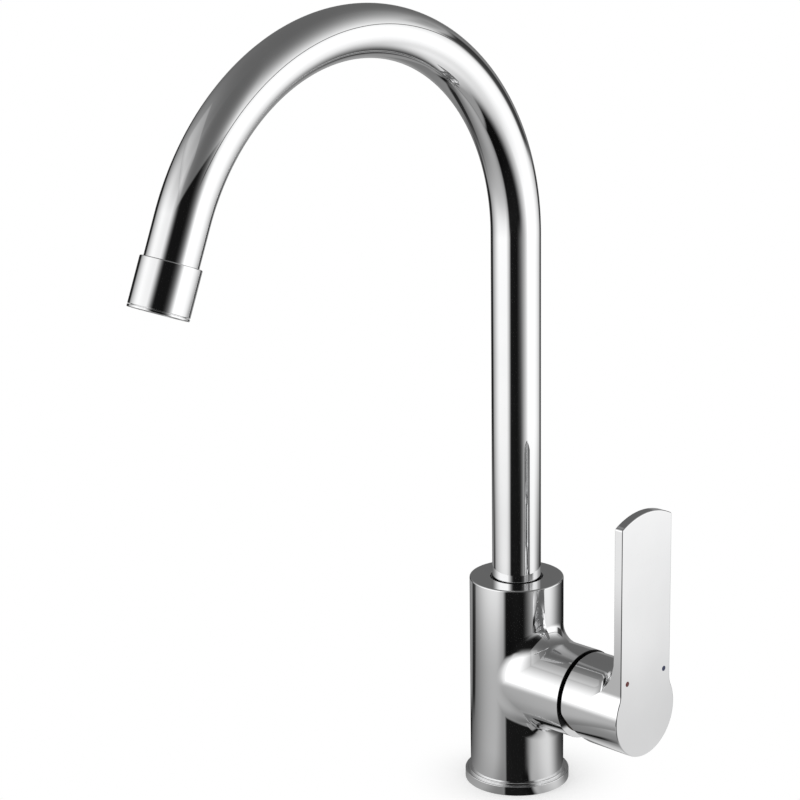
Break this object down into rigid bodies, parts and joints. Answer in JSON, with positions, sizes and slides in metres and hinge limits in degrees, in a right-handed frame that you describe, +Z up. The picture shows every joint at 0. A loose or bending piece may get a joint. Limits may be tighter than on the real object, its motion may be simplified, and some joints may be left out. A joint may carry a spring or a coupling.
{
  "type": "kitchen faucet",
  "caption": "Deck-mounted chrome kitchen mixer tap: round column on a base ring, swivelling gooseneck spout with an aerator, and a side cartridge valve with an upright paddle lever.",
  "frame": {"origin": "on the column's axis in the plane of the deck, the underside of the base ring", "axes": "+Z up along the column, -Y towards the user along the spout at rest, +X along the lever's branch"},
  "size_m": [0.108, 0.2609, 0.3979],
  "materials": {
    "chrome": "polished chrome plate on brass",
    "brass": "machined brass",
    "steel": "plain stainless steel",
    "rubber": "black nitrile rubber",
    "dark_plastic": "black acetal",
    "white_plastic": "white acetal",
    "grey_plastic": "grey moulded plastic",
    "ceramic": "lapped alumina",
    "hot_enamel": "red enamel dot",
    "cold_enamel": "blue enamel dot"
  },
  "bodies": {
    "column": {"valve_body": "chrome", "base_ring": "chrome", "base_gasket": "rubber", "spout_slip_ring": "dark_plastic", "spout_thrust_ring": "dark_plastic", "spout_lock_screw": "steel", "cartridge_base": "white_plastic", "cartridge_housing": "white_plastic", "cartridge_nut": "brass", "dome_cap": "chrome", "fixed_disc": "ceramic", "hot_port_seal": "rubber", "cold_port_seal": "rubber", "outlet_port_seal": "rubber"},
    "spout": {"spout_tube": "chrome", "spout_shank": "brass", "spout_o_ring_1": "rubber", "spout_o_ring_2": "rubber", "outlet_sleeve": "chrome", "aerator_washer": "rubber", "aerator_housing": "chrome", "aerator_insert": "grey_plastic", "aerator_screen": "grey_plastic"},
    "turret": {"cartridge_turret": "grey_plastic", "pivot_pin": "steel"},
    "lever": {"cartridge_stem": "brass", "lever_handle": "chrome", "handle_screw": "steel", "handle_plug": "grey_plastic", "hot_mark": "hot_enamel", "cold_mark": "cold_enamel"},
    "disc": {"disc_holder": "white_plastic", "moving_disc": "ceramic"}
  },
  "joints": [
    {"name": "spout_swivel", "type": "hinge", "parent": "column", "child": "spout", "pos_m": [0, 0, 0.1065], "axis": [0, 0, 1], "continuous": true},
    {"name": "lever_turn", "type": "hinge", "parent": "column", "child": "turret", "pos_m": [0.05002, 0, 0.0564], "axis": [1, 0, 0], "range_deg": [-45, 45]},
    {"name": "lever_lift", "type": "hinge", "parent": "turret", "child": "lever", "pos_m": [0.05002, 0, 0.0564], "axis": [0, 1, 0], "range_deg": [0, 22]},
    {"name": "disc_slide", "type": "slide", "parent": "turret", "child": "disc", "axis": [0, 0, 1], "range_m": [0, 0.006]}
  ],
  "couplings": [
    {"joint": "disc_slide", "follows": "lever_lift", "m_per_rad": 0.01561}
  ]
}
